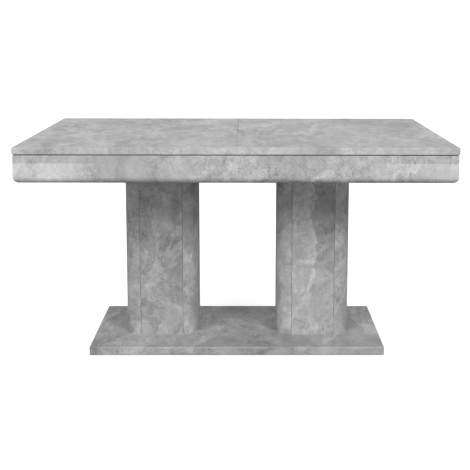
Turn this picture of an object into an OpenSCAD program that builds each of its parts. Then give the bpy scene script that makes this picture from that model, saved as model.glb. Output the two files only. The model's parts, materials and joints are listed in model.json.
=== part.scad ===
// Extendable dining table. Two columns on a base plate carry a fixed apron box, and the top is
// split into two halves that slide apart on ball-bearing runners. A rack on each half meshes with
// one pinion, so both halves move together. A folding leaf is stored in the box under the seam.
// Origin on the floor under the table's centre: X along the length, Y to the back, Z up.

/* [Table] */
// Length of the closed table
table_l = 1400; // [1400:10:1500]
// Depth of the table
table_w = 900; // [880:10:960]
// Height of the table top above the floor
table_h = 750; // [740:5:780]
// How far each top half slides out, which is half the leaf's width
half_travel = 200; // [190:5:200]

/* [Top] */
// Thickness of the top halves and of the leaf
slab_t = 22; // [20:1:22]
// Rounding of the slab's lower edge
slab_lower_r = 3; // [1:0.5:5]
// Rounding of the slab's upper edge
slab_upper_r = 0.8; // [0.5:0.1:2]
// Gap between the two halves at the closed seam
seam_gap = 0.5; // [0.3:0.1:1]
// Shadow gap between the top and the apron
shadow_gap = 2.5; // [2:0.5:3]

/* [Apron] */
// Height of the apron
apron_h = 89; // [85:0.5:92]
// Thickness of the apron boards at their flat upper band
apron_t = 25; // [22:1:28]
// Height of the flat upper band, above the crease
apron_band_h = 25; // [20:1:30]
// How far the upper band stands back from the slab's edge
apron_band_recess = 2; // [1.5:0.5:3]
// How far the swelling lower part stands back from the slab's edge
apron_belly_recess = 1; // [0.5:0.25:1.25]
// Radius of the apron's rounded lower edge
apron_edge_r = 20; // [15:1:20]

/* [Columns] */
// Distance between the two columns' centre lines
column_pitch = 536; // [520:2:560]
// Width of a column along the table
column_w = 256; // [250:1:266]
// Depth of a column
column_d = 209; // [190:1:220]
// Radius of a column's corner mouldings
column_r = 53; // [48:1:58]
// Thickness of the column's panels and mouldings
column_board_t = 16; // [12:1:18]
// Width of the slit between a panel and a moulding
groove_gap = 0.6; // [0.4:0.1:1]
// Chamfer along both sides of the slit
groove_chamfer = 0.8; // [0.5:0.1:1.5]

/* [Base] */
// Length of the base plate
base_l = 1012; // [980:2:1060]
// Depth of the base plate
base_w = 485; // [460:1:560]
// Thickness of the base plate
base_t = 28; // [25:1:30]
// Radius of the base plate's upright corners
base_corner_r = 4; // [2:1:10]
// Height of the floor glides
glide_h = 4; // [3:0.5:5]

/* [Hidden] */
$fn = 48;
fine_fn = 96;

// Colours
decor = [0.63, 0.63, 0.61];
plain_board = [0.72, 0.70, 0.66];
beech = [0.80, 0.66, 0.46];
steel = [0.70, 0.71, 0.73];
black_plastic = [0.12, 0.12, 0.13];
white_plastic = [0.85, 0.85, 0.83];
felt = [0.25, 0.25, 0.26];

// Heights
slab_z = table_h - slab_t;
apron_top_z = slab_z - shadow_gap;
apron_z = apron_top_z - apron_h;
column_z = glide_h + base_t;
column_h = apron_z - column_z;
bearer_t = 16;
bearer_top_z = apron_z + bearer_t;

// Inside of the apron box, from the centre to the inner faces
apron_depth = apron_band_recess + apron_t;
inner_x = table_l / 2 - apron_depth;
inner_y = table_w / 2 - apron_depth;

// Bearer plates over the columns
bearer_w = 300;
bearer_x = column_pitch / 2;

// Column blocks and the bolts that hold them
block_h = 30;
bolt_r = 4;
bolt_hole_r = 4.3;
insert_hole_r = 4.1;
bolt_head_r = 6.5;
bolt_head_h = 6;
bolt_length = 46;
counterbore_r = 10;
counterbore_depth = 8;
bolt_dx = 48;
bolt_dy = 42;

// Runners: a long track on the apron, a member under each top half, and a ball cage between
runner_z = slab_z - 29;
sheet_t = 1.5;
track_half_h = 23;
track_depth = 12;
track_lip = 4.5;
track_end_x = inner_x - 1;
stop_l = 7.5;
member_half_h = 15.3;
member_in = 4.5;
member_out = 12.5;
member_inner_x = 30;
member_outer_x = track_end_x - stop_l - 0.5 - half_travel;
cage_l = 200;
cage_x = 250;
cage_web_in = 2.5;
cage_web_t = 1;
cage_arm_end = 9.7;
ball_r = 2.9;
ball_u = 7;
ball_v = 18.4;
ball_hole_r = 3.15;
balls_per_row = 6;
ball_spacing = 34;

// Battens under the slabs
batten_w = 30;
batten_h = 48;
batten_end_x = member_outer_x - 2;
cross_batten_w = 40;
cross_batten_h = 22;
batten_gap = 0.2;

// Synchronising rack and pinion
gear_module = 2.5;
pinion_teeth = 18;
pressure_angle = 20;
pitch_r = gear_module * pinion_teeth / 2;
base_circle_r = pitch_r * cos(pressure_angle);
tip_r = pitch_r + gear_module;
root_r = pitch_r - 1.25 * gear_module;
tooth_pitch = PI * gear_module;
tooth_play = 0.25;
pinion_y = 330;
gear_z = slab_z - 36;
gear_t = 12;
axle_r = 5;
running_gap = 0.05;
bridge_t = 16;
bridge_half_l = 200;
bridge_half_w = 40;
rack_back = 6;
rack_tooth_x0 = -24;
rack_tooth_x1 = half_travel + 24;
rack_tail_x = -300;
rack_foot_l = 36;
rack_flange = 16;
rack_flange_t = 4;

// Alignment pins on the seam, as distances from the table's centre line
pin_r = 4;
pin_out = 12;
pin_in = 18;
pin_ys = [100, 300];

// Folding leaf, stored folded along a line that runs with the table's length
strip_t = 2;
leaf_w = 2 * half_travel;
leaf_half_d = table_w / 2;
leaf_z = bearer_top_z + strip_t;
fold_gap = 1;
fold_y = leaf_half_d / 2;
fold_z = leaf_z + slab_t + fold_gap / 2;
knuckle_r = 3;
knuckle_relief_r = 3.4;
hinge_pin_r = 1.5;
hinge_xs = [-120, 120];
hinge_l = 60;
hinge_leaf_h = 17;
hinge_leaf_t = 2;
knuckle_l = 19.8;

// Catch under the seam
catch_y = -290;
catch_x = 30;
catch_z = slab_z - 6;
catch_t = 3;
catch_reach = 2 * catch_x;

// Turns a profile drawn in (Y, Z) into a bar that runs from x0 to x1
module along_x(x0, x1) {
    translate([x0, 0, 0])
        rotate([90, 0, 90])
            linear_extrude(x1 - x0)
                children();
}

// Turns a profile drawn in (X, Z) into a bar that runs from y0 to y1
module along_y(y0, y1) {
    translate([0, y1, 0])
        rotate([90, 0, 0])
            linear_extrude(y1 - y0)
                children();
}

// Draws its children at the front and mirrored at the back
module front_and_back() {
    for (side = [0, 1])
        mirror([0, side, 0])
            children();
}

// Draws its children as they are for the left side, or mirrored for the right one
module on_side(side) {
    mirror([side > 0 ? 1 : 0, 0, 0])
        children();
}

// Box given by its two opposite corners
module box(low, high) {
    translate(low)
        cube(high - low);
}

// What a quarter round of radius r leaves outside it, towards (sx, sy), around its centre
module corner_trim(r, sx, sy) {
    scale_x = sx > 0 ? 0 : 1;
    scale_y = sy > 0 ? 0 : 1;
    mirror([scale_x, 0])
        mirror([0, scale_y])
            difference() {
                square(r + 1);
                circle(r);
            }
}

// Rectangle centred on the origin, with rounded corners
module rounded_rect(w, d, r) {
    square([w - 2 * r, d], center = true);
    square([w, d - 2 * r], center = true);
    for (sx = [-1, 1])
        for (sy = [-1, 1])
            translate([sx * (w / 2 - r), sy * (d / 2 - r)])
                circle(r, $fn = fine_fn);
}

// Board section from a0 to a1 and from height z0 up, with its edges rounded where asked
module board_section(a0, a1, z0, t, lower_r, upper_r, round_low_side) {
    difference() {
        translate([a0, z0])
            square([a1 - a0, t]);
        translate([a1 - lower_r, z0 + lower_r])
            corner_trim(lower_r, 1, -1);
        translate([a1 - upper_r, z0 + t - upper_r])
            corner_trim(upper_r, 1, 1);
        if (round_low_side) {
            translate([a0 + lower_r, z0 + lower_r])
                corner_trim(lower_r, -1, -1);
            translate([a0 + upper_r, z0 + t - upper_r])
                corner_trim(upper_r, -1, 1);
        }
    }
}

// Wood screw along +Z: a pan head below the origin and a shank above it
module screw(head_r, head_h, shank_r, length) {
    translate([0, 0, -head_h])
        cylinder(h = head_h, r = head_r);
    translate([0, 0, -0.5])
        cylinder(h = length + 0.5, r = shank_r);
}

// Base plate, drilled and counterbored from below for the column bolts
module base_plate() {
    color(decor)
        difference() {
            intersection() {
                translate([0, 0, glide_h])
                    linear_extrude(base_t)
                        rounded_rect(base_l, base_w, base_corner_r);
                along_x(-base_l, base_l)
                    board_section(-base_w / 2, base_w / 2, glide_h, base_t, 2, 1.2, true);
                along_y(-base_w, base_w)
                    board_section(-base_l / 2, base_l / 2, glide_h, base_t, 2, 1.2, true);
            }
            at_bolts() {
                translate([0, 0, glide_h - 1])
                    cylinder(h = base_t + 2, r = bolt_hole_r);
                translate([0, 0, glide_h - 1])
                    cylinder(h = counterbore_depth + 1, r = counterbore_r);
            }
        }
}

// Floor glides: a disc with a nail driven up into the base plate
module floor_glides() {
    inset = 45;
    disc_r = 15;
    nail_r = 1.5;
    nail_l = 16;
    color(black_plastic)
        for (x = [-base_l / 2 + inset, 0, base_l / 2 - inset])
            for (y = [-base_w / 2 + inset, base_w / 2 - inset])
                translate([x, y, 0]) {
                    cylinder(h = glide_h, r = disc_r);
                    cylinder(h = glide_h + nail_l, r = nail_r);
                }
}

// Places its children on the bolt axes of both columns
module at_bolts() {
    for (cx = [-bearer_x, bearer_x])
        at_column_bolts(cx)
            children();
}

module at_column_bolts(cx) {
    for (dx = [-bolt_dx, bolt_dx])
        for (dy = [-bolt_dy, bolt_dy])
            translate([cx + dx, dy, 0])
                children();
}

// Bolts from below into the bottom blocks, and from above into the top blocks
module column_bolts() {
    head_z = glide_h + counterbore_depth;
    color(steel)
        at_bolts() {
            translate([0, 0, head_z - bolt_head_h])
                cylinder(h = bolt_head_h, r = bolt_head_r);
            translate([0, 0, head_z - 1])
                cylinder(h = bolt_length, r = bolt_r);
            translate([0, 0, bearer_top_z])
                cylinder(h = bolt_head_h, r = bolt_head_r);
            translate([0, 0, bearer_top_z - bolt_length + 6])
                cylinder(h = bolt_length - 5, r = bolt_r);
        }
}

// Section of a flat column panel of the given width, its outer face on y = 0
module panel_section(width) {
    half = width / 2 - groove_gap;
    polygon([
        [-half + groove_chamfer, 0], [half - groove_chamfer, 0], [half, groove_chamfer],
        [half, column_board_t], [-half, column_board_t], [-half, groove_chamfer]
    ]);
}

// Flat panel whose outer face looks along the given angle, 0 for the front
module column_panel(cx, angle) {
    across = angle == 0 || angle == 180;
    width = (across ? column_w : column_d) - 2 * column_r;
    out = (across ? column_d : column_w) / 2;
    color(decor)
        translate([cx, 0, column_z])
            rotate([0, 0, angle])
                translate([0, -out, 0])
                    linear_extrude(column_h)
                        panel_section(width);
}

// Section of a quarter-round moulding about its own centre, chamfered at both ends
module moulding_section() {
    difference() {
        circle(column_r, $fn = fine_fn);
        circle(column_r - column_board_t, $fn = fine_fn);
        translate([-2 * column_r, -2 * column_r])
            square([2 * column_r, 4 * column_r]);
        translate([-2 * column_r, -2 * column_r])
            square([4 * column_r, 2 * column_r]);
        moulding_end_chamfer();
        mirror([1, -1])
            moulding_end_chamfer();
    }
}

module moulding_end_chamfer() {
    polygon([
        [column_r - groove_chamfer, 0], [column_r + groove_chamfer, 0],
        [column_r + groove_chamfer, 2 * groove_chamfer]
    ]);
}

// The four corner mouldings of one column
module column_mouldings(cx) {
    color(decor)
        for (sx = [0, 1])
            for (sy = [0, 1])
                translate([cx, 0, column_z])
                    mirror([sx, 0, 0])
                        mirror([0, sy, 0])
                            translate([column_w / 2 - column_r, column_d / 2 - column_r, 0])
                                linear_extrude(column_h)
                                    moulding_section();
}

// Solid block that fills the column's inside at height z, bored for the bolts
module column_block(cx, z) {
    inner_w = column_w - 2 * column_board_t;
    inner_d = column_d - 2 * column_board_t;
    color(plain_board)
        difference() {
            translate([cx, 0, z])
                linear_extrude(block_h)
                    rounded_rect(inner_w, inner_d, column_r - column_board_t);
            at_column_bolts(cx)
                translate([0, 0, z - 1])
                    cylinder(h = block_h + 2, r = insert_hole_r);
        }
}

module left_column_front_panel() { column_panel(-bearer_x, 0); }
module left_column_back_panel() { column_panel(-bearer_x, 180); }
module left_column_inner_panel() { column_panel(-bearer_x, 90); }
module left_column_outer_panel() { column_panel(-bearer_x, 270); }
module left_column_mouldings() { column_mouldings(-bearer_x); }
module left_column_bottom_block() { column_block(-bearer_x, column_z); }
module left_column_top_block() { column_block(-bearer_x, apron_z - block_h); }
module right_column_front_panel() { column_panel(bearer_x, 0); }
module right_column_back_panel() { column_panel(bearer_x, 180); }
module right_column_inner_panel() { column_panel(bearer_x, 270); }
module right_column_outer_panel() { column_panel(bearer_x, 90); }
module right_column_mouldings() { column_mouldings(bearer_x); }
module right_column_bottom_block() { column_block(bearer_x, column_z); }
module right_column_top_block() { column_block(bearer_x, apron_z - block_h); }

// Board across the apron box that joins a column to the front and back aprons
module bearer_plate(cx) {
    color(plain_board)
        difference() {
            box([cx - bearer_w / 2, -inner_y, apron_z], [cx + bearer_w / 2, inner_y, bearer_top_z]);
            at_column_bolts(cx)
                translate([0, 0, apron_z - 1])
                    cylinder(h = bearer_t + 2, r = bolt_hole_r);
        }
}

module left_bearer_plate() { bearer_plate(-bearer_x); }
module right_bearer_plate() { bearer_plate(bearer_x); }

// Section of the apron: 0 is the plane of the slab's edge, and the first axis runs inwards.
// A flat band on top, a crease, a slight swelling below it and a rounded lower edge.
module apron_section() {
    crease = apron_h - apron_band_h;
    rise = crease - apron_edge_r;
    sink = apron_band_recess - apron_belly_recess;
    belly_r = (rise * rise + sink * sink) / (2 * sink);
    edge_x = apron_belly_recess + apron_edge_r;
    translate([apron_band_recess, crease])
        square([apron_t, apron_band_h]);
    intersection() {
        translate([0, apron_edge_r])
            square([apron_depth, rise]);
        translate([apron_belly_recess + belly_r, apron_edge_r])
            circle(belly_r, $fn = 1440);
    }
    intersection() {
        square([apron_depth, apron_edge_r]);
        union() {
            translate([edge_x, apron_edge_r])
                circle(apron_edge_r, $fn = fine_fn);
            translate([edge_x, 0])
                square([apron_depth, apron_edge_r]);
        }
    }
}

// Apron board along X on the front side, mitred at both ends
module long_apron() {
    half_l = table_l / 2;
    half_w = table_w / 2;
    intersection() {
        along_x(-half_l, half_l)
            translate([-half_w, apron_z])
                apron_section();
        translate([0, 0, apron_z])
            linear_extrude(apron_h)
                polygon([
                    [-half_l, -half_w], [half_l, -half_w],
                    [half_l - apron_depth, -inner_y], [-half_l + apron_depth, -inner_y]
                ]);
    }
}

// Apron board along Y on the left side, mitred at both ends
module short_apron() {
    half_l = table_l / 2;
    half_w = table_w / 2;
    intersection() {
        along_y(-half_w, half_w)
            translate([-half_l, apron_z])
                apron_section();
        translate([0, 0, apron_z])
            linear_extrude(apron_h)
                polygon([
                    [-half_l, -half_w], [-inner_x, -half_w + apron_depth],
                    [-inner_x, half_w - apron_depth], [-half_l, half_w]
                ]);
    }
}

module apron_front() {
    color(decor)
        long_apron();
}

module apron_back() {
    color(decor)
        mirror([0, 1, 0])
            long_apron();
}

module apron_left() {
    color(decor)
        short_apron();
}

module apron_right() {
    color(decor)
        mirror([1, 0, 0])
            short_apron();
}

// Three-cornered blocks glued into the box's corners
module corner_blocks() {
    leg = 60;
    block_z = apron_z + 4;
    block_top = 27;
    color(beech)
        for (sx = [0, 1])
            for (sy = [0, 1])
                mirror([sx, 0, 0])
                    mirror([0, sy, 0])
                        translate([-inner_x, -inner_y, block_z])
                            linear_extrude(block_top)
                                polygon([[0, 0], [leg, 0], [leg, 8], [8, leg], [0, leg]]);
}

// Where the angle brackets sit along X, on the left half of the box
bracket_xs = [-bearer_x - 100, -bearer_x + 100];
bracket_w = 30;
bracket_up = 17;
bracket_in = 28;
bracket_t = 2;

// Steel angle brackets between the bearer plates and the long aprons
module apron_brackets() {
    color(steel)
        for (side = [-1, 1])
            on_side(side)
                front_and_back()
                    for (x = bracket_xs)
                        along_x(x - bracket_w / 2, x + bracket_w / 2)
                            translate([-inner_y, bearer_top_z])
                                polygon([
                                    [0, 0], [bracket_in, 0], [bracket_in, bracket_t],
                                    [bracket_t, bracket_t], [bracket_t, bracket_up], [0, bracket_up]
                                ]);
}

// Where the track screws sit along X, on the left half of the box
track_screw_xs = [-600, -400, -200, -40];

// Wood screws of the brackets and the tracks
module frame_screws() {
    color(steel)
        for (side = [-1, 1])
            on_side(side)
                front_and_back() {
                    for (x = bracket_xs) {
                        translate([x, -inner_y + bracket_t, bearer_top_z + 11])
                            rotate([90, 0, 0])
                                screw(3.5, 2, 1.75, 15);
                        translate([x, -inner_y + 18, bearer_top_z + bracket_t])
                            rotate([180, 0, 0])
                                screw(3.5, 2, 1.75, 14);
                    }
                    for (x = track_screw_xs)
                        translate([x, -inner_y + sheet_t, runner_z])
                            rotate([90, 0, 0])
                                screw(4, 0.6, 1.75, 16);
                }
}

// Track section: a channel open to the inside, with lips. First axis runs in from the apron.
module track_section() {
    translate([0, -track_half_h])
        square([sheet_t, 2 * track_half_h]);
    for (side = [0, 1])
        mirror([0, side]) {
            translate([0, track_half_h - sheet_t])
                square([track_depth, sheet_t]);
            translate([track_depth - sheet_t, track_half_h - track_lip])
                square([sheet_t, track_lip]);
        }
}

module runner_track() {
    along_x(-track_end_x, track_end_x)
        translate([-inner_y, runner_z])
            track_section();
}

module track_front() {
    color(steel)
        runner_track();
}

module track_back() {
    color(steel)
        mirror([0, 1, 0])
            runner_track();
}

// Buffers pushed into the four ends of the tracks
module track_end_stops() {
    stop_half_h = track_half_h - sheet_t;
    color(black_plastic)
        for (side = [-1, 1])
            on_side(side)
                front_and_back()
                    box(
                        [-track_end_x, -inner_y + sheet_t, runner_z - stop_half_h],
                        [-track_end_x + stop_l, -inner_y + track_depth - sheet_t, runner_z + stop_half_h]
                    );
}

// Runner member under one top half: a channel open towards the apron
module member_section() {
    translate([member_out - sheet_t, -member_half_h])
        square([sheet_t, 2 * member_half_h]);
    for (side = [0, 1])
        mirror([0, side])
            translate([member_in, member_half_h - sheet_t])
                square([member_out - member_in, sheet_t]);
}

module runner_members(side) {
    color(steel)
        on_side(side)
            front_and_back()
                along_x(-member_outer_x, -member_inner_x)
                    translate([-inner_y, runner_z])
                        member_section();
}

// Where the balls of one row sit along X
function ball_xs() = [
    for (i = [0 : balls_per_row - 1])
        -cage_x + (i - (balls_per_row - 1) / 2) * ball_spacing
];

// Cage: a thin channel whose two arms hold a row of balls each
module ball_cages(side) {
    arm_v = ball_v + cage_web_t / 2;
    color(white_plastic)
        on_side(side)
            front_and_back()
                difference() {
                    along_x(-cage_x - cage_l / 2, -cage_x + cage_l / 2)
                        translate([-inner_y, runner_z]) {
                            translate([cage_web_in, -arm_v])
                                square([cage_web_t, 2 * arm_v]);
                            for (up = [0, 1])
                                mirror([0, up])
                                    translate([cage_web_in, arm_v - cage_web_t])
                                        square([cage_arm_end - cage_web_in, cage_web_t]);
                        }
                    for (x = ball_xs())
                        for (up = [-1, 1])
                            translate([x, -inner_y + ball_u, runner_z + up * ball_v - 2])
                                cylinder(h = 4, r = ball_hole_r);
                }
}

module bearing_balls(side) {
    color(steel)
        on_side(side)
            front_and_back()
                for (x = ball_xs())
                    for (up = [-1, 1])
                        translate([x, -inner_y + ball_u, runner_z + up * ball_v])
                            sphere(ball_r);
}

// Felt strips on the bearer plates, on which the stored leaf lies
module leaf_rest_strips() {
    color(felt)
        for (side = [-1, 1])
            on_side(side)
                box(
                    [-half_travel + 8, -fold_y + 10, bearer_top_z],
                    [-half_travel + 33, fold_y - 10, leaf_z]
                );
}

// Board that bridges the two bearer plates and carries the pinion
module pinion_bridge() {
    color(plain_board)
        difference() {
            box(
                [-bridge_half_l, pinion_y - bridge_half_w, bearer_top_z],
                [bridge_half_l, pinion_y + bridge_half_w, bearer_top_z + bridge_t]
            );
            translate([0, pinion_y, bearer_top_z - 1])
                cylinder(h = bridge_t + 2, r = axle_r);
        }
}

// Axle with a shoulder under the pinion
module pinion_axle() {
    shoulder_z = bearer_top_z + bridge_t;
    color(steel)
        translate([0, pinion_y, 0]) {
            translate([0, 0, bearer_top_z])
                cylinder(h = gear_z + gear_t + 5 - bearer_top_z, r = axle_r);
            translate([0, 0, shoulder_z])
                cylinder(h = gear_z - 0.3 - shoulder_z, r = axle_r + 3);
        }
}

module pinion_retaining_ring() {
    color(steel)
        translate([0, pinion_y, gear_z + gear_t + 0.3])
            difference() {
                cylinder(h = 1.5, r = axle_r + 3.5);
                translate([0, 0, -1])
                    cylinder(h = 4, r = axle_r);
            }
}

// Angle between an involute's foot and its point at radius r
function involute(r) =
    let (a = acos(min(1, base_circle_r / r)))
    tan(a) * 180 / PI - a;

// Half the angle that a tooth fills at radius r
function half_tooth(r) =
    90 / pinion_teeth - tooth_play / 2 / pitch_r * 180 / PI + involute(pitch_r) - involute(r);

function polar(r, a) = [r * cos(a), r * sin(a)];

// Outline of one pinion tooth, centred on angle a
function tooth_outline(a, steps = 5) = concat(
    [polar(root_r, a - half_tooth(base_circle_r))],
    [for (i = [0 : steps])
        let (r = base_circle_r + (tip_r - base_circle_r) * i / steps)
        polar(r, a - half_tooth(r))],
    [for (i = [steps : -1 : 0])
        let (r = base_circle_r + (tip_r - base_circle_r) * i / steps)
        polar(r, a + half_tooth(r))],
    [polar(root_r, a + half_tooth(base_circle_r))]
);

// Pinion, with a tooth towards each rack at rest
module sync_pinion() {
    outline = [
        for (i = [0 : pinion_teeth - 1])
            each tooth_outline(90 + i * 360 / pinion_teeth)
    ];
    color(white_plastic)
        translate([0, pinion_y, gear_z])
            linear_extrude(gear_t)
                difference() {
                    polygon(outline);
                    circle(axle_r + running_gap);
                }
}

// Outline of one rack tooth: the pitch line is y = 0 and the tooth points to +Y
function rack_tooth(x) =
    let (
        half = tooth_pitch / 4 - tooth_play / 2,
        foot = 1.25 * gear_module,
        slope = tan(pressure_angle)
    )
    [
        [x - half - foot * slope, -foot], [x - half + gear_module * slope, gear_module],
        [x + half - gear_module * slope, gear_module], [x + half + foot * slope, -foot]
    ];

// Rack under the left half, in front of the pinion: it reaches past the seam, and its feet
// rise to the slab on its own side of the seam
module rack_bar() {
    foot = 1.25 * gear_module;
    first = ceil(rack_tooth_x0 / tooth_pitch);
    last = floor(rack_tooth_x1 / tooth_pitch);
    outline = concat(
        [[rack_tail_x, -foot - rack_back], [rack_tail_x, -foot]],
        [for (i = [first : last]) each rack_tooth((i + 0.5) * tooth_pitch)],
        [[rack_tooth_x1 + 8, -foot], [rack_tooth_x1 + 8, -foot - rack_back]]
    );
    pitch_y = pinion_y - pitch_r;
    back_y = pitch_y - foot - rack_back;
    translate([0, pitch_y, gear_z])
        linear_extrude(gear_t)
            polygon(outline);
    for (x = rack_foot_xs()) {
        box([x, back_y, gear_z + gear_t - 1], [x + rack_foot_l, back_y + rack_back, slab_z]);
        box([x, back_y - rack_flange, slab_z - rack_flange_t], [x + rack_foot_l, back_y + 1, slab_z]);
    }
}

function rack_foot_xs() = [rack_tail_x + 5, rack_tail_x + 110, rack_tail_x + 215];

// Draws its children as they are for the left half, or turned half a turn about the pinion's
// axis for the right one
module rack_side(side) {
    translate([0, pinion_y, 0])
        rotate([0, 0, side > 0 ? 180 : 0])
            translate([0, -pinion_y, 0])
                children();
}

module left_rack() {
    color(white_plastic)
        rack_side(-1)
            rack_bar();
}

module right_rack() {
    color(white_plastic)
        rack_side(1)
            rack_bar();
}

// One half of the top, drawn on the left: square at the seam and rounded on its outer edges
module top_half() {
    half_l = table_l / 2;
    half_w = table_w / 2;
    intersection() {
        along_x(-half_l, -seam_gap / 2)
            board_section(-half_w, half_w, slab_z, slab_t, slab_lower_r, slab_upper_r, true);
        mirror([1, 0, 0])
            along_y(-half_w, half_w)
                board_section(0, half_l, slab_z, slab_t, slab_lower_r, slab_upper_r, false);
    }
}

// Places its children on the seam pins' axes, at a slab's mid thickness
module at_seam_pins() {
    for (y = pin_ys)
        for (side = [-1, 1])
            translate([0, side * y, slab_z + slab_t / 2])
                rotate([0, 90, 0])
                    children();
}

module left_top_slab() {
    color(decor)
        difference() {
            top_half();
            at_seam_pins()
                translate([0, 0, -pin_out - 2])
                    cylinder(h = pin_out + 4, r = pin_r + running_gap);
        }
}

module right_top_slab() {
    color(decor)
        mirror([1, 0, 0])
            top_half();
}

// Dowel pins set in the right half's seam edge, which enter the left half
module alignment_pins() {
    color(beech)
        at_seam_pins()
            translate([0, 0, -pin_out])
                cylinder(h = pin_out + pin_in, r = pin_r);
}

// Two battens along the runners and one across the outer end
module battens(side) {
    batten_y = inner_y - member_out;
    color(beech)
        on_side(side) {
            front_and_back()
                box(
                    [-batten_end_x, -batten_y, slab_z - batten_h],
                    [-member_inner_x, -batten_y + batten_w, slab_z]
                );
            box(
                [-batten_end_x, -batten_y + batten_w + batten_gap, slab_z - cross_batten_h],
                [-batten_end_x + cross_batten_w, batten_y - batten_w - batten_gap, slab_z]
            );
        }
}

module left_battens() { battens(-1); }
module right_battens() { battens(1); }
module left_runner_members() { runner_members(-1); }
module right_runner_members() { runner_members(1); }
module left_ball_cages() { ball_cages(-1); }
module right_ball_cages() { ball_cages(1); }
module left_bearing_balls() { bearing_balls(-1); }
module right_bearing_balls() { bearing_balls(1); }

// Wood screws that hold the battens, the runner members and the rack of one half
module top_screws(side) {
    batten_y = inner_y - member_out;
    back_y = pinion_y - pitch_r - 1.25 * gear_module - rack_back;
    color(steel) {
        on_side(side) {
            front_and_back()
                for (x = [-batten_end_x + 20, -250, -member_inner_x - 25]) {
                    translate([x, -batten_y + batten_w / 2, slab_z - batten_h])
                        screw(4, 2, 2, batten_h + 12);
                    translate([x - 40 * sign(x + 200), -inner_y + member_out - sheet_t, runner_z])
                        rotate([-90, 0, 0])
                            screw(3.5, 2, 1.75, 16);
                }
            for (y = [-200, 0, 200])
                translate([-batten_end_x + cross_batten_w / 2, y, slab_z - cross_batten_h])
                    screw(4, 2, 2, cross_batten_h + 12);
        }
        rack_side(side)
            for (x = rack_foot_xs())
                translate([x + rack_foot_l / 2, back_y - rack_flange / 2, slab_z - rack_flange_t])
                    screw(3.5, 2, 1.75, 16);
    }
}

module left_top_screws() { top_screws(-1); }
module right_top_screws() { top_screws(1); }

// Shouldered bolt on which the catch lever turns, under the left half
module catch_pivot_bolt() {
    color(steel)
        translate([-catch_x, catch_y, 0]) {
            translate([0, 0, catch_z - 4])
                cylinder(h = 4 - 0.3, r = 7);
            translate([0, 0, catch_z - 2])
                cylinder(h = 20, r = bolt_r);
            translate([0, 0, catch_z + catch_t + 0.3])
                cylinder(h = slab_z - catch_z - catch_t - 0.3, r = 8);
        }
}

// Headed striker pin under the right half
module catch_striker() {
    color(steel)
        translate([catch_x, catch_y, 0]) {
            translate([0, 0, catch_z - 4])
                cylinder(h = 3, r = 6);
            translate([0, 0, catch_z - 2])
                cylinder(h = 20, r = bolt_r);
            translate([0, 0, catch_z + catch_t + 0.3])
                cylinder(h = slab_z - catch_z - catch_t - 0.3, r = 8);
        }
}

// Wedge from the origin between two angles, longer than any catch part
module wedge(a0, a1) {
    polygon([[0, 0], polar(100, a0), polar(100, a1)]);
}

// Catch lever's outline in its hooked position: the hook's slot is an arc about the pivot
module catch_outline() {
    slot_half = bolt_r + 0.4;
    hook_half = 10;
    difference() {
        union() {
            circle(12);
            translate([0, -7])
                square([catch_reach - hook_half + 1, 14]);
            translate([-36, -8])
                square([36, 16]);
            intersection() {
                difference() {
                    circle(catch_reach + hook_half, $fn = fine_fn);
                    circle(catch_reach - hook_half, $fn = fine_fn);
                }
                wedge(-14, 16);
            }
        }
        intersection() {
            difference() {
                circle(catch_reach + slot_half, $fn = fine_fn);
                circle(catch_reach - slot_half, $fn = fine_fn);
            }
            wedge(-5, 30);
        }
        circle(bolt_r + running_gap);
    }
}

// Catch lever, drawn released: it points to the front, and its finger tab hangs down behind
module seam_catch_lever() {
    color(steel)
        translate([-catch_x, catch_y, catch_z])
            rotate([0, 0, -90]) {
                linear_extrude(catch_t)
                    catch_outline();
                box([-36, -8, -20], [-33, 8, 1]);
            }
}

// Half of the folding leaf, its fold edge at the back, with bores for the seam pins
module leaf_half(z, bore_reach) {
    difference() {
        box([-leaf_w / 2, fold_y - leaf_half_d, z], [leaf_w / 2, fold_y, z + slab_t]);
        for (y = pin_ys)
            translate([leaf_w / 2 - bore_reach, fold_y - y, z + slab_t / 2])
                rotate([0, 90, 0])
                    cylinder(h = bore_reach + 1, r = pin_r + running_gap);
        for (x = hinge_xs)
            translate([x, fold_y, fold_z])
                rotate([0, 90, 0])
                    cylinder(h = hinge_l + 1, r = knuckle_relief_r, center = true);
    }
}

// Space for the hinge leaves, let into the fold edge of the half whose middle is at z
module hinge_mortises(z0, z1) {
    for (x = hinge_xs)
        box(
            [x - hinge_l / 2 - 0.5, fold_y - hinge_leaf_t, z0],
            [x + hinge_l / 2 + 0.5, fold_y + 1, z1]
        );
}

module leaf_lower_half() {
    color(decor)
        difference() {
            leaf_half(leaf_z, pin_out + 2);
            hinge_mortises(fold_z - hinge_leaf_h, fold_z);
        }
}

module leaf_upper_half() {
    color(decor)
        difference() {
            leaf_half(fold_z + fold_gap / 2, pin_out + 2);
            hinge_mortises(fold_z, fold_z + hinge_leaf_h);
        }
}

// Dowel pins in the leaf's left edge
module leaf_dowels(z) {
    color(beech)
        for (y = pin_ys)
            translate([-leaf_w / 2 - pin_out, fold_y - y, z + slab_t / 2])
                rotate([0, 90, 0])
                    cylinder(h = pin_out + pin_in, r = pin_r);
}

module leaf_lower_dowels() { leaf_dowels(leaf_z); }
module leaf_upper_dowels() { leaf_dowels(fold_z + fold_gap / 2); }

// Bored knuckle along X, from x0 to x1 about the fold axis
module knuckle(x0, x1, bore_r) {
    translate([x0, fold_y, fold_z])
        rotate([0, 90, 0])
            difference() {
                cylinder(h = x1 - x0, r = knuckle_r);
                translate([0, 0, -1])
                    cylinder(h = x1 - x0 + 2, r = bore_r);
            }
}

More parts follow.
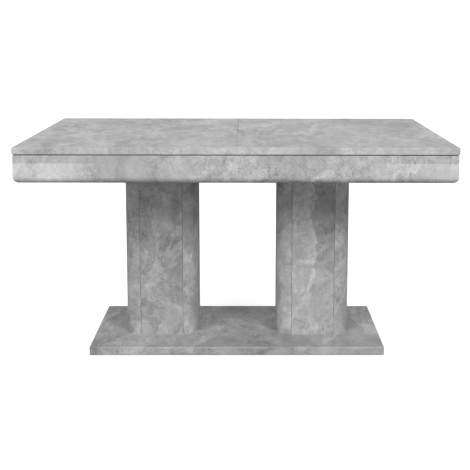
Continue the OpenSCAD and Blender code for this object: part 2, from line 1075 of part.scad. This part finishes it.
// Hinge leaves of the lower half: each has the two outer knuckles, which grip the pin
module leaf_hinge_lower_plates() {
    color(steel)
        for (x = hinge_xs) {
            for (side = [-1, 1]) {
                x0 = side < 0 ? x - hinge_l / 2 : x + hinge_l / 2 - knuckle_l;
                knuckle(x0, x0 + knuckle_l, hinge_pin_r);
                box(
                    [x0, fold_y - hinge_leaf_t, fold_z - knuckle_r - 2],
                    [x0 + knuckle_l, fold_y - hinge_pin_r - 0.1, fold_z]
                );
            }
            box(
                [x - hinge_l / 2, fold_y - hinge_leaf_t, fold_z - hinge_leaf_h],
                [x + hinge_l / 2, fold_y, fold_z - knuckle_relief_r]
            );
        }
}

// Hinge leaves of the upper half: each has the middle knuckle, which turns on the pin
module leaf_hinge_upper_plates() {
    half = knuckle_l / 2;
    color(steel)
        for (x = hinge_xs) {
            knuckle(x - half, x + half, hinge_pin_r + running_gap);
            box(
                [x - half, fold_y - hinge_leaf_t, fold_z],
                [x + half, fold_y - hinge_pin_r - 0.1, fold_z + knuckle_r + 2]
            );
            box(
                [x - hinge_l / 2, fold_y - hinge_leaf_t, fold_z + knuckle_relief_r],
                [x + hinge_l / 2, fold_y, fold_z + hinge_leaf_h]
            );
        }
}

module leaf_hinge_pins() {
    color(steel)
        for (x = hinge_xs)
            translate([x, fold_y, fold_z])
                rotate([0, 90, 0])
                    cylinder(h = hinge_l, r = hinge_pin_r, center = true);
}

base_plate();
floor_glides();
column_bolts();
left_column_front_panel();
left_column_back_panel();
left_column_inner_panel();
left_column_outer_panel();
left_column_mouldings();
left_column_bottom_block();
left_column_top_block();
right_column_front_panel();
right_column_back_panel();
right_column_inner_panel();
right_column_outer_panel();
right_column_mouldings();
right_column_bottom_block();
right_column_top_block();
left_bearer_plate();
right_bearer_plate();
apron_front();
apron_back();
apron_left();
apron_right();
corner_blocks();
apron_brackets();
frame_screws();
track_front();
track_back();
track_end_stops();
leaf_rest_strips();
pinion_bridge();
pinion_axle();
pinion_retaining_ring();
sync_pinion();
left_top_slab();
left_battens();
left_runner_members();
left_rack();
left_top_screws();
right_top_slab();
right_battens();
right_runner_members();
right_rack();
right_top_screws();
alignment_pins();
left_ball_cages();
left_bearing_balls();
right_ball_cages();
right_bearing_balls();
catch_pivot_bolt();
catch_striker();
seam_catch_lever();
leaf_lower_half();
leaf_lower_dowels();
leaf_hinge_lower_plates();
leaf_hinge_pins();
leaf_upper_half();
leaf_upper_dowels();
leaf_hinge_upper_plates();
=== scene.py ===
"""Looks of the extendable dining table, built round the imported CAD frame.

All lengths are metres. The table stands on the floor with its centre at the origin: X runs along
its length, Y to the back and Z up. Every board, runner and fitting is a CAD node; this script
gives each of them its material and adds the floor, the light and the camera.
"""

import json
import math

import bpy
from mathutils import Euler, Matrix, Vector


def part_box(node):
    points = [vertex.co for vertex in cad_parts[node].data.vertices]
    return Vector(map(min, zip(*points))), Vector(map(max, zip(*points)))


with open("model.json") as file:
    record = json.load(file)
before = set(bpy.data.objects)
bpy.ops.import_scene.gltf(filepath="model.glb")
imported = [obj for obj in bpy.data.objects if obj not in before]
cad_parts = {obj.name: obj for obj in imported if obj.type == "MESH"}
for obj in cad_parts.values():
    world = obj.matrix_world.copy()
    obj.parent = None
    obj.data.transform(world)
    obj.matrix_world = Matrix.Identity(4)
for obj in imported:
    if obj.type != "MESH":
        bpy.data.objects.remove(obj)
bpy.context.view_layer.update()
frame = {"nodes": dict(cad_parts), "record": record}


# ---------------------------------------------------------------- node graph helper

class Graph:
    """Builds one material's node graph, with short calls for the nodes used here."""

    def __init__(self, name):
        self.material = bpy.data.materials.new(name)
        self.material.use_nodes = True
        self.tree = self.material.node_tree
        self.tree.nodes.clear()
        output = self.tree.nodes.new("ShaderNodeOutputMaterial")
        self.shader = self.tree.nodes.new("ShaderNodeBsdfPrincipled")
        self.tree.links.new(self.shader.outputs["BSDF"], output.inputs["Surface"])
        self.object_coords = self.tree.nodes.new("ShaderNodeTexCoord").outputs["Object"]

    def plug(self, value, socket):
        """Links value to the socket if it is an output, or else sets it."""
        if isinstance(value, bpy.types.NodeSocket):
            self.tree.links.new(value, socket)
        else:
            socket.default_value = value

    def coords(self, offset=(0, 0, 0), stretch=(1, 1, 1)):
        """Object coordinates, moved, and scaled along each axis."""
        node = self.tree.nodes.new("ShaderNodeMapping")
        self.tree.links.new(self.object_coords, node.inputs["Vector"])
        node.inputs["Location"].default_value = offset
        node.inputs["Scale"].default_value = stretch
        return node.outputs["Vector"]

    def noise(self, vector, scale, detail, roughness, distortion=0.0):
        """Fractal noise from 0 to 1."""
        node = self.tree.nodes.new("ShaderNodeTexNoise")
        self.plug(vector, node.inputs["Vector"])
        node.inputs["Scale"].default_value = scale
        node.inputs["Detail"].default_value = detail
        node.inputs["Roughness"].default_value = roughness
        node.inputs["Distortion"].default_value = distortion
        return node.outputs["Fac"]

    def scatter(self, vector, scale):
        """Distance to the nearest of many scattered points."""
        node = self.tree.nodes.new("ShaderNodeTexVoronoi")
        self.plug(vector, node.inputs["Vector"])
        node.inputs["Scale"].default_value = scale
        return node.outputs["Distance"]

    def place(self):
        """Object coordinates, one socket for each axis."""
        node = self.tree.nodes.new("ShaderNodeSeparateXYZ")
        self.plug(self.object_coords, node.inputs["Vector"])
        return node.outputs

    def math(self, operation, a, b=0.0):
        node = self.tree.nodes.new("ShaderNodeMath")
        node.operation = operation
        self.plug(a, node.inputs[0])
        self.plug(b, node.inputs[1])
        return node.outputs[0]

    def step(self, value, low, high, to_low=0.0, to_high=1.0):
        """Smooth step of value from low to high."""
        node = self.tree.nodes.new("ShaderNodeMapRange")
        node.interpolation_type = "SMOOTHSTEP"
        self.plug(value, node.inputs["Value"])
        node.inputs["From Min"].default_value = low
        node.inputs["From Max"].default_value = high
        node.inputs["To Min"].default_value = to_low
        node.inputs["To Max"].default_value = to_high
        return node.outputs["Result"]

    def swing(self, value, amount):
        """Turns a 0..1 value into one that swings round 0 by half the amount each way."""
        return self.math("MULTIPLY", self.math("SUBTRACT", value, 0.5), amount)

    def total(self, start, *parts):
        for part in parts:
            start = self.math("ADD", start, part)
        return start

    def product(self, start, *parts):
        for part in parts:
            start = self.math("MULTIPLY", start, part)
        return start

    def edge_band(self, box, reach):
        """1 along the edges of a box-shaped board, falling to 0 at the reach from them."""
        low, high = box
        near = []
        for axis, place in enumerate(self.place()):
            from_low = self.math("SUBTRACT", place, low[axis])
            to_high = self.math("SUBTRACT", high[axis], place)
            near.append(self.math("MINIMUM", from_low, to_high))
        a, b, c = near
        second_nearest = self.math(
            "MAXIMUM",
            self.math("MINIMUM", a, b),
            self.math("MINIMUM", self.math("MAXIMUM", a, b), c),
        )
        return self.step(second_nearest, 0.0, reach, 1.0, 0.0)

    def tint(self, colour, tone):
        """The colour multiplied by a tone near 1."""
        node = self.tree.nodes.new("ShaderNodeVectorMath")
        node.operation = "SCALE"
        node.inputs[0].default_value = colour
        self.plug(tone, node.inputs["Scale"])
        return node.outputs[0]

    def bump(self, height, depth, strength=1.0):
        node = self.tree.nodes.new("ShaderNodeBump")
        node.inputs["Strength"].default_value = strength
        node.inputs["Distance"].default_value = depth
        self.plug(height, node.inputs["Height"])
        self.tree.links.new(node.outputs["Normal"], self.shader.inputs["Normal"])

    def finish(self, colour, roughness, metallic=0.0, specular=0.5):
        self.plug(colour, self.shader.inputs["Base Color"])
        self.plug(roughness, self.shader.inputs["Roughness"])
        self.shader.inputs["Metallic"].default_value = metallic
        self.shader.inputs["Specular IOR Level"].default_value = specular
        return self.material


# ---------------------------------------------------------------- concrete-look foil

DECOR_COLOUR = (0.30, 0.30, 0.30)
DECOR_ROUGHNESS = 0.66
DECOR_SPECULAR = 0.18
RELIEF_DEPTH = 0.00025
RELIEF_STRENGTH = 0.6

# How strongly each layer of the foil changes its tone
CLOUDS = 0.70
BLOTCHES = 1.00
PATCHES = 0.17
VEINS = 0.17
SMUDGES = 0.95
GRAIN = 1.15
PORES = -0.14

# Edges made paler, partly as wear and partly as a painted highlight, and rubbed smoother, as far in
# as the reach
EDGE_HIGHLIGHT_AND_WEAR_REACH = 0.004
EDGE_HIGHLIGHT_AND_WEAR_TONE = 0.13
WEAR_ROUGHNESS = -0.10


def concrete_decor(name, box, cut, stretch, level, patchiness, graininess, mark=None):
    """Concrete-look foil. box is the board's box, cut is where on the sheet it was taken from,
    stretch draws the pattern out along the axes where it is below 1, level is its brightness, and
    mark(graph) adds to the tone of one board."""
    g = Graph(name)
    p = g.coords(cut, stretch)
    clouds = g.noise(p, 3.2, detail=5, roughness=0.6, distortion=0.5)
    blotches = g.noise(p, 15, detail=8, roughness=0.68, distortion=0.8)
    smudges = g.noise(p, 48, detail=6, roughness=0.7, distortion=0.6)
    grain = g.noise(p, 190, detail=4, roughness=0.75)
    rough_zone = g.noise(p, 8, detail=4, roughness=0.6, distortion=0.6)
    rough_zone = g.step(rough_zone, 0.40, 0.62, 0.45, 1.5)

    # Trowelled patches: a clean edge on one side that fades away on the other
    sweep = g.noise(p, 4.2, detail=7, roughness=0.58, distortion=1.1)
    patch = g.product(g.step(sweep, 0.497, 0.505), g.step(sweep, 0.505, 0.60, 1.0, 0.25))

    # Pale hairlines, only where the vein zone lets them show
    ridge = g.noise(p, 8, detail=8, roughness=0.62, distortion=1.6)
    ridge = g.math("ABSOLUTE", g.math("SUBTRACT", ridge, 0.5))
    vein_zone = g.step(g.noise(p, 4.6, detail=2, roughness=0.5), 0.50, 0.60)
    veins = g.product(g.step(ridge, 0.0, 0.014, 1.0, 0.0), vein_zone)

    # Small dark pores, in groups
    pore_zone = g.step(g.noise(p, 20, detail=2, roughness=0.5), 0.52, 0.62)
    pores = g.product(g.step(g.scatter(p, 70), 0.10, 0.20, 1.0, 0.0), pore_zone)

    broad = g.total(
        g.swing(clouds, CLOUDS),
        g.swing(blotches, BLOTCHES),
        g.swing(patch, PATCHES),
        g.product(veins, VEINS),
    )
    fine = g.product(g.total(g.swing(smudges, SMUDGES), g.swing(grain, GRAIN)), rough_zone)
    fine = g.total(fine, g.product(pores, PORES))
    # Edge band: its paler tone is partly wear and partly a painted highlight along the edges
    worn_and_highlit = g.product(g.edge_band(box, EDGE_HIGHLIGHT_AND_WEAR_REACH), g.step(smudges, 0.34, 0.62, 0.3, 1.0))
    tone = g.total(
        1.0,
        g.product(broad, patchiness),
        g.product(fine, graininess),
        g.product(worn_and_highlit, EDGE_HIGHLIGHT_AND_WEAR_TONE),
    )
    if mark:
        tone = g.total(tone, mark(g))
    roughness = g.total(
        DECOR_ROUGHNESS,
        g.swing(blotches, 0.22),
        g.swing(grain, 0.15),
        g.product(worn_and_highlit, WEAR_ROUGHNESS),
    )
    relief = g.total(g.swing(smudges, 1.0), g.swing(grain, 1.0), g.product(pores, -0.6))
    g.bump(relief, RELIEF_DEPTH, RELIEF_STRENGTH)
    return g.finish(
        g.tint(DECOR_COLOUR, g.product(tone, level)), roughness, specular=DECOR_SPECULAR
    )


# ---------------------------------------------------------------- marks and painted light on single boards

# Long aprons: height of the crease above their lower edge, and how high the painted shade on the
# lower rounding reaches
CREASE_RISE = 0.064
CREASE_BLUR = 0.001
ROUNDING_RISE = 0.024
# Tones: painted highlight on the belly near the ends, painted shade on the band above the crease
# there and along the lower rounding
BELLY_PAINTED_HIGHLIGHT = 0.19
BAND_PAINTED_SHADE = -0.10
ROUNDING_PAINTED_SHADE = -0.24


def apron_painted_light(node):
    """A long apron's belly is paler towards both ends, up to its sharp crease, as a painted
    highlight;
    the band above the crease is darker there and the rounded lower edge darker all along, as painted
    shade."""
    low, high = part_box(node)
    crease = low[2] + CREASE_RISE
    reach = high[0]

    def mark(g):
        place = g.place()
        wobble = g.swing(g.noise(g.coords(), 9, detail=5, roughness=0.6), 0.25)
        from_middle = g.math("ABSOLUTE", place["X"])
        ends = g.step(g.total(from_middle, wobble), 0.52 * reach, 0.86 * reach)
        # Painted highlight below the crease and painted shade above it, towards the ends
        band = g.step(
            place["Z"], crease - CREASE_BLUR, crease + CREASE_BLUR, BELLY_PAINTED_HIGHLIGHT, BAND_PAINTED_SHADE
        )
        # Painted shade along the rounded lower edge
        rounding = g.step(place["Z"], low[2], low[2] + ROUNDING_RISE, ROUNDING_PAINTED_SHADE, 0.0)
        return g.total(g.product(ends, band), rounding)

    return mark


# Pale tide: how far below the column's top it is gone and still full, how wide its pale rim is,
# and between which distances its sharp edge runs
TIDE_END = 0.56
TIDE_FULL = 0.42
TIDE_RIM = 0.040
TIDE_RIM_END = 0.003
TIDE_EDGE = (0.004, 0.008)
TIDE_TONE = 0.15
TIDE_RIM_TONE = 0.29
BEYOND_TIDE_TONE = -0.05


def pale_tide(node):
    """A pale area on the left of a column's front, brightest along its sharp wavy edge."""
    low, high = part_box(node)
    middle = (low[0] + high[0]) / 2
    top = high[2]

    def mark(g):
        place = g.place()
        upright = g.coords((3.1, 0, 7.7), (0.0, 0.0, 1.0))
        wave = g.swing(g.noise(upright, 7, detail=5, roughness=0.55), 0.17)
        across = g.coords((1.4, 0, 0.6))
        ragged = g.swing(g.noise(across, 26, detail=5, roughness=0.6), 0.018)
        beyond = g.math("SUBTRACT", g.total(place["X"], wave, ragged), middle)
        rim = g.step(beyond, -TIDE_RIM, TIDE_RIM_END, TIDE_TONE, TIDE_RIM_TONE)
        inside = g.step(beyond, *TIDE_EDGE, 1.0, 0.0)
        outside = g.step(beyond, *TIDE_EDGE, 0.0, BEYOND_TIDE_TONE)
        fade = g.step(place["Z"], top - TIDE_END, top - TIDE_FULL)
        return g.product(g.total(g.product(rim, inside), outside), fade)

    return mark


# Seam line: full up to the first distance from the middle, gone at the second
SEAM_REACH = (0.0008, 0.0020)
SEAM_TONE = -0.42


def seam_line(box):
    """The dark joint line where the two halves of the top meet, clearest towards the back."""
    low, high = box

    def mark(g):
        place = g.place()
        line = g.step(g.math("ABSOLUTE", place["X"]), *SEAM_REACH, 1.0, 0.0)
        return g.product(line, g.step(place["Y"], 0.6 * low[1], high[1], 0.0, SEAM_TONE))

    return mark


# Base plate: painted shade on its edging, and a painted shadow along the foot of that edging
EDGING_PAINTED_SHADE = -0.14
FOOT_PAINTED_SHADOW = -0.34


def base_painted_shade(node):
    """The base plate's edging is darker than its face as painted shade, with a painted shadow along
    the floor broken up by noise.
    """
    low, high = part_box(node)

    def mark(g):
        place = g.place()
        # Painted shade on the edging below the top face
        edging = g.step(place["Z"], high[2] - 0.002, high[2] - 0.001, EDGING_PAINTED_SHADE, 0.0)
        # Painted shadow along the floor, broken up by noise
        foot = g.step(place["Z"], low[2] + 0.001, low[2] + 0.006, FOOT_PAINTED_SHADOW, 0.0)
        shadow_breakup = g.noise(g.coords((0.7, 0, 0.2), (0.6, 1, 1)), 40, detail=4, roughness=0.6)
        return g.total(edging, g.product(foot, g.step(shadow_breakup, 0.35, 0.6, 0.6, 1.0)))

    return mark


# ---------------------------------------------------------------- other materials

MELAMINE_COLOUR = (0.62, 0.61, 0.585)
BEECH_COLOUR = (0.60, 0.42, 0.25)
ZINC_COLOUR = (0.60, 0.61, 0.63)
FELT_COLOUR = (0.055, 0.055, 0.06)
BLACK_PLASTIC_COLOUR = (0.03, 0.03, 0.032)
WHITE_PLASTIC_COLOUR = (0.72, 0.72, 0.69)
FELT_SHEEN = 0.3


def plain_board():
    """Pale grey melamine face with a faint orange-peel."""
    g = Graph("plain_board")
    p = g.coords()
    speckle = g.noise(p, 900, detail=2, roughness=0.5)
    mottle = g.noise(p, 30, detail=4, roughness=0.6)
    tone = g.total(1.0, g.swing(speckle, 0.10), g.swing(mottle, 0.06))
    g.bump(speckle, 0.00005)
    return g.finish(g.tint(MELAMINE_COLOUR, tone), g.total(0.5, g.swing(mottle, 0.1)))


def beech():
    """Lacquered beech: long fibres, short dark flecks and slow bands."""
    g = Graph("beech")
    bands = g.coords(stretch=(0.35, 3.0, 3.0))
    bands = g.noise(bands, 9, detail=5, roughness=0.55, distortion=0.8)
    fibres = g.noise(g.coords(stretch=(0.05, 1, 1)), 260, detail=4, roughness=0.65)
    flecks = g.noise(g.coords(stretch=(0.16, 1, 1)), 420, detail=2, roughness=0.5)
    flecks = g.step(flecks, 0.60, 0.68)
    tone = g.total(1.0, g.swing(bands, 0.35), g.swing(fibres, 0.25), g.product(flecks, -0.22))
    g.bump(fibres, 0.00015, 0.5)
    return g.finish(g.tint(BEECH_COLOUR, tone), g.total(0.42, g.swing(fibres, 0.2)))


def zinc_steel():
    """Zinc-plated sheet steel with faint rolling lines and cloudy passivation."""
    g = Graph("zinc_steel")
    lines = g.noise(g.coords(stretch=(0.02, 1, 1)), 700, detail=3, roughness=0.6)
    clouds = g.noise(g.coords(), 35, detail=5, roughness=0.6, distortion=0.5)
    tone = g.total(1.0, g.swing(lines, 0.12), g.swing(clouds, 0.18))
    g.bump(lines, 0.00003, 0.5)
    roughness = g.total(0.34, g.swing(clouds, 0.22), g.swing(lines, 0.12))
    return g.finish(g.tint(ZINC_COLOUR, tone), roughness, metallic=1.0)


def moulded_plastic(name, colour):
    """Moulded plastic with a fine spark-eroded texture."""
    g = Graph(name)
    p = g.coords()
    texture = g.noise(p, 1500, detail=2, roughness=0.5)
    flow = g.noise(p, 60, detail=3, roughness=0.5, distortion=1.0)
    g.bump(texture, 0.00004)
    tone = g.total(1.0, g.swing(texture, 0.08), g.swing(flow, 0.08))
    return g.finish(g.tint(colour, tone), g.total(0.48, g.swing(flow, 0.12)))


def pressed_felt():
    """Dark pressed felt with matted fibres."""
    g = Graph("pressed_felt")
    p = g.coords()
    fibres = g.noise(p, 800, detail=5, roughness=0.7, distortion=2.0)
    mat = g.noise(p, 120, detail=4, roughness=0.6)
    g.bump(g.total(fibres, mat), 0.0004)
    tone = g.total(1.0, g.swing(fibres, 0.7), g.swing(mat, 0.3))
    g.shader.inputs["Sheen Weight"].default_value = FELT_SHEEN
    return g.finish(g.tint(FELT_COLOUR, tone), 0.95, specular=0.2)


# ---------------------------------------------------------------- which node gets what

SLOT_MATERIALS = {
    "plain_board": plain_board(),
    "beech": beech(),
    "steel": zinc_steel(),
    "black_plastic": moulded_plastic("black_plastic", BLACK_PLASTIC_COLOUR),
    "white_plastic": moulded_plastic("white_plastic", WHITE_PLASTIC_COLOUR),
    "felt": pressed_felt(),
}

# How each kind of board uses the foil: stretch, level, patchiness and graininess
FOIL_USE = {
    "top": ((1, 0.5, 1), 1.0, 1.0, 0.75),
    "long_apron": ((0.9, 1, 0.7), 1.0, 1.0, 0.8),
    "short_apron": ((1, 0.9, 0.7), 1.0, 1.0, 0.8),
    "leaf": ((0.55, 1, 1), 1.0, 1.0, 0.75),
    "base": ((0.9, 0.5, 1), 0.97, 1.15, 0.85),
    "column_panel": ((1, 1, 0.8), 0.82, 1.3, 0.78),
    "column_mouldings": ((1, 1, 0.8), 0.85, 1.3, 0.78),
}

# Where on the sheet the boards were cut
TOP_CUT = (4.1, 2.6, 0.8)
LONG_APRON_CUT = (6.3, 0.4, 3.9)
CUT_STEP = (1.7, 0.9, 2.3)
COLUMN_CUTS = {"left": (5.3, 0.0, 1.1), "right": (0.0, 0.0, 4.7)}


def joint_box(*nodes):
    """The box round several nodes."""
    boxes = [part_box(node) for node in nodes]
    low = [min(box[0][axis] for box in boxes) for axis in range(3)]
    high = [max(box[1][axis] for box in boxes) for axis in range(3)]
    return low, high


def kind_of(name):
    """What kind of decor board a node is."""
    if name in ("apron_front", "apron_back"):
        return "long_apron"
    if name.startswith("apron"):
        return "short_apron"
    if name.startswith("leaf"):
        return "leaf"
    if name == "base_plate":
        return "base"
    return "column_mouldings" if name.endswith("mouldings") else "column_panel"


def cut_for(name, kind, index):
    """Where the node's board was cut. The two long aprons share one place on the sheet, but the
    pattern also depends on where a board stands, so they differ as well."""
    if kind == "long_apron":
        return LONG_APRON_CUT
    shift = (0.0, 0.0, 0.0)
    if kind.startswith("column"):
        shift = COLUMN_CUTS[name.split("_")[0]]
    return [step * index + extra for step, extra in zip(CUT_STEP, shift)]


def mark_for(name, kind):
    """What the node's board shows on top of the foil, if anything: painted light on the long aprons
    and the base plate, a pale tide on one column panel.
    """
    if kind == "long_apron":
        return apron_painted_light(name)
    if kind == "base":
        return base_painted_shade(name)
    if name == "right_column_front_panel":
        return pale_tide(name)
    return None


def dress_nodes():
    """Gives every CAD node its material: the decor boards each get their own cut of the foil."""
    slots = {entry["node"]: entry["material_slot"] for entry in frame["record"]["subparts"]}
    top_box = joint_box("left_top_slab", "right_top_slab")
    top_foil = concrete_decor(
        "decor_top", top_box, TOP_CUT, *FOIL_USE["top"], mark=seam_line(top_box)
    )
    for index, (name, obj) in enumerate(sorted(frame["nodes"].items())):
        if slots[name] != "decor_board":
            material = SLOT_MATERIALS[slots[name]]
        elif name.endswith("top_slab"):
            material = top_foil
        else:
            kind = kind_of(name)
            cut = cut_for(name, kind, index)
            material = concrete_decor(
                "decor_" + name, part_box(name), cut, *FOIL_USE[kind], mark=mark_for(name, kind)
            )
        obj.data.materials.clear()
        obj.data.materials.append(material)


# ---------------------------------------------------------------- studio

WHITE = (1, 1, 1, 1)

FLOOR_SIZE = 60.0
FLOOR_COLOUR = (0.40, 0.40, 0.40)
FLOOR_ROUGHNESS = 0.9
FLOOR_SPECULAR = 0.1
FLOOR_GLOW = 0.76

# Sky: bright round the horizon, dimmer above it
HORIZON_STRENGTH = 1.0
SKY_STRENGTH = 0.24
SKY_FROM = 0.28
SKY_TO = 0.45

# Soft boxes: energy, angular width, elevation and azimuth (0 is the front, + the right), degrees
SOFT_BOXES = {
    "front_left_box": (2.0, 24, 31, -35),
    "front_right_box": (2.1, 24, 31, 35),
    "top_box": (1.5, 90, 90, 0),
}

# Camera: in front of the table and above its top. The shift lifts the table from the picture's
# lower part to its middle, as in the photo
CAMERA_PLACE = Vector((0.033, -3.451, 1.152))
CAMERA_TURN = math.radians(0.37)
CAMERA_TILT = math.radians(8.6)
CAMERA_ROLL = math.radians(0.12)
LENS_MM = 74.5
SENSOR_MM = 36
SHIFT_X = -0.0382
SHIFT_Y = -0.15


def build_floor():
    g = Graph("studio_floor")
    mottle = g.noise(g.coords(), 1.5, detail=3, roughness=0.5)
    colour = g.tint(FLOOR_COLOUR, g.total(1.0, g.swing(mottle, 0.02)))
    g.finish(colour, FLOOR_ROUGHNESS, specular=FLOOR_SPECULAR)
    g.shader.inputs["Emission Color"].default_value = WHITE
    g.shader.inputs["Emission Strength"].default_value = FLOOR_GLOW
    half = FLOOR_SIZE / 2
    mesh = bpy.data.meshes.new("studio_floor")
    corners = [(-half, -half, 0), (half, -half, 0), (half, half, 0), (-half, half, 0)]
    mesh.from_pydata(corners, [], [(0, 1, 2, 3)])
    mesh.materials.append(g.material)
    floor = bpy.data.objects.new("studio_floor", mesh)
    bpy.context.scene.collection.objects.link(floor)

    # The glow only whitens the floor: it lights nothing else, so that the shadows stay under the top
    lit = bpy.data.collections.new("lit_by_floor_glow")
    lit.objects.link(floor)
    floor.light_linking.receiver_collection = lit


def build_sky():
    world = bpy.data.worlds.new("studio_world")
    world.use_nodes = True
    tree = world.node_tree
    background = tree.nodes["Background"]
    direction = tree.nodes.new("ShaderNodeTexCoord").outputs["Generated"]
    split = tree.nodes.new("ShaderNodeSeparateXYZ")
    tree.links.new(direction, split.inputs["Vector"])
    fade = tree.nodes.new("ShaderNodeMapRange")
    fade.interpolation_type = "SMOOTHSTEP"
    tree.links.new(split.outputs["Z"], fade.inputs["Value"])
    fade.inputs["From Min"].default_value = SKY_FROM
    fade.inputs["From Max"].default_value = SKY_TO
    fade.inputs["To Min"].default_value = HORIZON_STRENGTH
    fade.inputs["To Max"].default_value = SKY_STRENGTH
    tree.links.new(fade.outputs["Result"], background.inputs["Strength"])
    background.inputs["Color"].default_value = WHITE
    bpy.context.scene.world = world


def build_soft_boxes():
    for name, (energy, width, elevation, azimuth) in SOFT_BOXES.items():
        sun = bpy.data.lights.new(name, "SUN")
        sun.energy = energy
        sun.angle = math.radians(width)
        holder = bpy.data.objects.new(name, sun)
        holder.rotation_euler = Euler((math.radians(90 - elevation), 0, math.radians(azimuth)))
        bpy.context.scene.collection.objects.link(holder)


def build_camera():
    data = bpy.data.cameras.new("camera")
    data.lens = LENS_MM
    data.sensor_width = SENSOR_MM
    data.shift_x = SHIFT_X
    data.shift_y = SHIFT_Y
    camera = bpy.data.objects.new("camera", data)
    camera.location = CAMERA_PLACE
    camera.rotation_mode = "XYZ"
    turn = Euler((math.pi / 2 - CAMERA_TILT, 0, -CAMERA_TURN)).to_matrix()
    camera.rotation_euler = (turn @ Euler((0, 0, CAMERA_ROLL)).to_matrix()).to_euler()
    bpy.context.scene.collection.objects.link(camera)
    bpy.context.scene.camera = camera


dress_nodes()
build_floor()
build_sky()
build_soft_boxes()
build_camera()
bpy.context.scene.view_settings.view_transform = "Standard"
